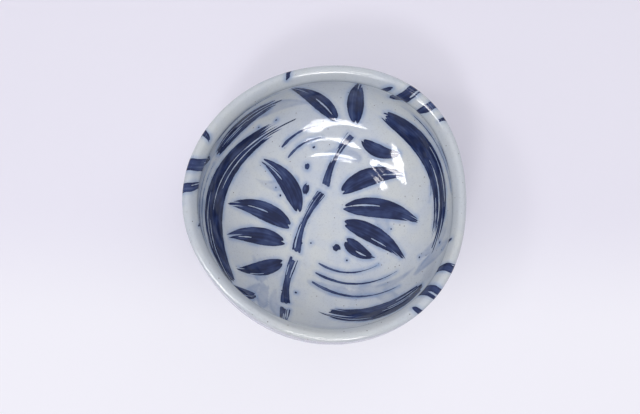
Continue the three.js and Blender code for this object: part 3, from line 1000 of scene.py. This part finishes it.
footMake = {                 # millimetres
    "inset": 0.03,           # a thread inside the glaze that laps over it
    "sideTop": 0.4,          # first row of facets, below the seam
    "sideFoot": 1.4,         # last row, above the table
    "sideRows": 8,
    "standingShares": (0.25, 0.5, 0.75),  # rows across the edge that it stands on
    "wellHole": 0.4,         # radius of the first ring, round the middle
    "wellRows": (26, 10, 16),  # across the flat, round the fillet, down the side
    "wellRings": 0.02,
}


def roundCorner(middle, radius, fromDegrees, toDegrees, steps=7):
    turn = np.radians(np.linspace(fromDegrees, toDegrees, steps))
    return [(middle[0] + radius * math.cos(a), middle[1] + radius * math.sin(a)) for a in turn]


def trimmedFoot():
    soft, inset = bowl["footRound"], footMake["inset"]
    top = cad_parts["foot_ring"].dimensions.z / mm
    outer, inner = footFace(0), wellFace(0)
    heights = np.linspace(top - footMake["sideTop"], footMake["sideFoot"], footMake["sideRows"])
    outline = [(wellFace(top) + inset, top)]
    outline += [(wellFace(height) + inset, height) for height in heights]
    outline += roundCorner((inner + soft + inset, soft), soft, 180, 270)
    wide = outer - inner - 2 * soft
    outline += [(inner + soft + wide * share, 0.0) for share in footMake["standingShares"]]
    outline += roundCorner((outer - soft - inset, soft), soft, 270, 360)
    outline += [(footFace(height) - inset, height) for height in heights[::-1]]
    outline += [(footFace(top) - inset, top)]
    outline = np.array(outline[::-1])
    around = meshGrain["footAround"]
    points = byHand(outline[:, :1], allRound(around)[None, :], outline[:, 1:]).reshape(-1, 3)
    faces = ringFaces(len(outline), around, closed=True)
    return makePiece("trimmed_foot", points, faces, bareClay, ["foot_ring"])


def glazeInWell():
    # The well runs with the clay above it, so its coat hangs down
    inner, height = bowl["footRadius"] - bowl["footWidth"], bowl["footHeight"]
    flat, bend = inner - bowl["wellFillet"], height - bowl["wellFillet"]
    flatRows, filletRows, sideRows = footMake["wellRows"]
    across = np.linspace(footMake["wellHole"], flat, flatRows)
    side = (wellFace(bend), bend)
    line = np.concatenate([
        np.stack([across, np.full(flatRows, height)], axis=1),
        bezierRun((flat, height), (inner, height), side, steps=filletRows)[1:],
        bezierRun(side, (wellFace(bowl["bareEdge"]), bowl["bareEdge"]), steps=sideRows)[1:],
    ])
    way = np.gradient(line, axis=0)
    way /= np.linalg.norm(way, axis=1)[:, None]
    out = np.stack([way[:, 1], -way[:, 0]], axis=1)
    run = np.concatenate([[0], np.cumsum(np.linalg.norm(np.diff(line, axis=0), axis=1))])
    thin = roundEdge(np.clip((run[-1] - run) / coat["endRound"], 0, 1), coat["wellThinnest"])
    ridges = footMake["wellRings"] * np.cos(2 * math.pi * run / handMarks["ringSpacing"])
    face = line + out * (coat["wellTop"] * thin + ridges * thin)[:, None]
    seat = line + out * (coat["wellSeat"] * thin * coat["wellUnderShare"])[:, None]
    around = meshGrain["footAround"]
    rings = np.concatenate([face, seat[::-1]])
    points = byHand(rings[:, :1], allRound(around)[None, :], rings[:, 1:]).reshape(-1, 3)
    poles = [byHand(0, 0, height - coat["wellTop"]), byHand(0, 0, height - coat["wellSeat"])]
    faces = ringFaces(len(rings), around, flip=True)
    faces += poleFaces(len(points), len(points) + 1, len(points) - around, around, flip=True)
    points = np.concatenate([points, poles])
    near = np.full(len(points), coat["paintless"])
    return makePiece("well_glaze", points, faces, glazed, ["foot_well_glaze"], {"near": near})


trimmedFoot()
glazeInWell()
print("foot made")


# Table, window light and camera

studio = {
    "paper": "e7e6f1",       # pale lilac-white
    "paperShade": "e2e1ed",
    "paperLit": "f4f3fb",
    "paperLift": (0.74, 0.06),  # how far it is lightened for the camera alone, near the window and beyond
    "paperLiftEnds": (-0.05, 0.015),  # metres along Y
    "paperFar": (0.35, 1.6),  # metres, where the sheet fades into the backdrop
    "paperSize": 6.0,        # metres
    "paperCloud": 0.35,      # metres
    "paperRoughness": 0.9,
    "paperShine": 0.1,
    "skyLight": 0.43,        # even light from all sides
    "lamps": {               # bearing from +X, height, metres away, size, share of the light that paper gets
        "window_lamp": (236.0, 44.0, 1.1, (1.6, 1.1), 0.08),
        "near_pane_lamp": (255.0, 52.5, 1.5, (0.2, 0.2), 0.145),
        "side_pane_lamp": (194.0, 58.0, 1.5, (0.2, 0.2), 0.08),
        "ceiling_lamp": (225.0, 83.0, 1.5, (1.2, 1.2), 0.31),
        "room_lamp": (48.0, 50.0, 1.5, (1.4, 1.0), 0.14),
    },
    "paneFar": 1.5,          # metres
    "panes": (               # bearing and height of the corners of each bright pane, as the bowl sees them
        ((292, 28.8), (286, 21.1), (281, 18.4), (267, 18.6), (251, 18.7), (242, 20.4), (252, 22.7),
         (257, 22.4), (264, 24.3), (268, 29), (278, 33.7), (284, 32.6)),
        ((293, 46.2), (287, 43.9), (279, 43.3), (262, 43.4), (246, 44.4), (238, 47.2), (245, 50.8),
         (254, 48.8), (262, 46.0), (271, 44.7), (279, 44.8), (286, 45.7)),
        ((293, 60.9), (285, 58), (263, 58.9), (242, 59.5), (232, 61.3), (239, 63.1), (263, 63.2),
         (286, 62.4)),
        ((221, 18.6), (216, 18.1), (209, 24.5), (202, 26.6), (194, 31.5), (188, 34.1), (193, 38),
         (199, 40.3), (204, 39.3), (212, 33.9), (217, 28.9)),
        ((223, 52.4), (221, 52.2), (215, 48), (211, 41.8), (205, 39.1), (201, 39.8), (207, 49.9),
         (214, 50.9), (217, 56.6)),
        ((215, 58.6), (213, 55.1), (203, 59.2), (196, 55.6), (189, 55.5), (189, 58.8), (199, 57.2),
         (206, 58.1)),
    ),
    "paneGlow": 18.0,        # times white paper
    "paneColour": "fffcfb",
}


def studioTable():
    bpy.ops.mesh.primitive_grid_add(x_subdivisions=2, y_subdivisions=2, size=studio["paperSize"])
    table = bpy.context.object
    table.name = "table"
    material, tree, shader = newMaterial("paper, uncoated")  # matt, so it takes only the soft shadow
    place = placeOn(tree)
    clouds = grained(tree, place, [1 / studio["paperCloud"]] * 3, 2.0)
    colour = mixColour(tree, clouds, studio["paper"], studio["paperShade"])
    plug(tree, shader, {"Base Color": colour, "Roughness": studio["paperRoughness"],
                        "Specular IOR Level": studio["paperShine"]})
    seen = addNode(tree, "LightPath", {}).outputs["Is Camera Ray"]
    backlight = addNode(tree, "Emission", {"Color": linear(studio["paperLit"])})
    along = addNode(tree, "SeparateXYZ", {0: place}).outputs["Y"]
    far = addNode(tree, "VectorMath", {0: place}, operation="LENGTH").outputs["Value"]
    lift = sums(tree, "MAXIMUM", fade(tree, along, *studio["paperLiftEnds"], *studio["paperLift"]),
                fade(tree, far, *studio["paperFar"]))
    share = times(tree, seen, lift)
    mixed = addNode(tree, "MixShader", {0: share, 1: shader.outputs[0], 2: backlight.outputs[0]})
    plug(tree, tree.nodes["Material Output"], {"Surface": mixed.outputs[0]})
    table.data.materials.append(material)


def studioSky():
    world = bpy.data.worlds.new("studio")
    scene.world = world
    world.use_nodes = True
    tree = world.node_tree
    seen = addNode(tree, "LightPath", {}).outputs["Is Camera Ray"]
    strength = addNode(tree, "MapRange", {"Value": seen, "To Min": studio["skyLight"], "To Max": 1.0})
    sky = {"Color": linear(studio["paperLit"]), "Strength": strength.outputs[0]}
    plug(tree, tree.nodes["Background"], sky)


bowlMiddle = Vector((axisX, axisY, bowl["height"] * mm / 2))


def towards(bearing, height):
    bearing, height = math.radians(bearing), math.radians(height)
    level = math.cos(height)
    return Vector((level * math.cos(bearing), level * math.sin(bearing), math.sin(height)))


def areaLamp(name, away, far, size, watts, colour):
    data = bpy.data.lights.new(name, "AREA")
    data.shape = "RECTANGLE"
    data.size, data.size_y = size
    data.energy = watts
    data.color = linear(colour)[:3]
    lamp = bpy.data.objects.new(name, data)
    lamp.location = bowlMiddle + away * far
    lamp.rotation_mode = "QUATERNION"
    lamp.rotation_quaternion = (-away).to_track_quat("-Z", "Y")
    scene.collection.objects.link(lamp)
    return lamp


def softLamps():
    # The light of the room, without its mirror image, which the panes give
    for name, (bearing, height, far, size, share) in studio["lamps"].items():
        away = towards(bearing, height)
        watts = math.pi ** 2 * far ** 2 * share / away.z
        lamp = areaLamp(name, away, far, size, watts, studio["paneColour"])
        lamp.visible_glossy = False


def windowPanes():
    # The bright panes themselves, which show only where the glaze mirrors them
    glow, tree, shader = newMaterial("window pane, daylight behind it")
    tree.nodes.remove(shader)
    daylight = {"Color": linear(studio["paneColour"]), "Strength": studio["paneGlow"]}
    light = addNode(tree, "Emission", daylight)
    plug(tree, tree.nodes["Material Output"], {"Surface": light.outputs[0]})
    for number, corners in enumerate(studio["panes"], 1):
        mesh = bpy.data.meshes.new(f"pane_{number}")
        points = [bowlMiddle + towards(*corner) * studio["paneFar"] for corner in corners]
        mesh.from_pydata(points, [], [list(range(len(points)))])
        mesh.materials.append(glow)
        pane = bpy.data.objects.new(f"pane_{number}", mesh)
        scene.collection.objects.link(pane)
        pane.visible_camera = pane.visible_diffuse = pane.visible_shadow = False


view = {
    "elevation": 76.5,       # degrees above the table
    "lens": 60.0,
    "sensor": 36.0,
    "far": 446.3,            # millimetres from the middle of the lip
    "frame": (640, 414),     # pixels
    "rimMiddle": (328.0, 197.5),  # where the middle of the lip is seen
    "clip": (0.01, 50.0),    # metres
}


def photographView():
    camera = bpy.data.objects.new("camera", bpy.data.cameras.new("camera"))
    scene.collection.objects.link(camera)
    scene.camera = camera
    camera.data.lens = view["lens"]
    camera.data.sensor_width = view["sensor"]
    tilt = math.radians(view["elevation"])
    forward = Vector((0, math.cos(tilt), -math.sin(tilt)))
    upward = Vector((0, math.sin(tilt), math.cos(tilt)))
    pixel = view["sensor"] / view["lens"] / view["frame"][0] * view["far"]  # millimetres across one pixel
    right = (view["rimMiddle"][0] - view["frame"][0] / 2) * pixel
    up = (view["frame"][1] / 2 - view["rimMiddle"][1]) * pixel
    target = Vector((axisX, axisY, bowl["height"] * mm))
    camera.location = target - forward * view["far"] * mm - Vector((1, 0, 0)) * right * mm - upward * up * mm
    camera.rotation_mode = "QUATERNION"
    camera.rotation_quaternion = forward.to_track_quat("-Z", "Y")
    camera.data.clip_start, camera.data.clip_end = view["clip"]


studioTable()
studioSky()
softLamps()
windowPanes()
photographView()
scene.view_settings.view_transform = "Standard"
print("table, light and camera set up")
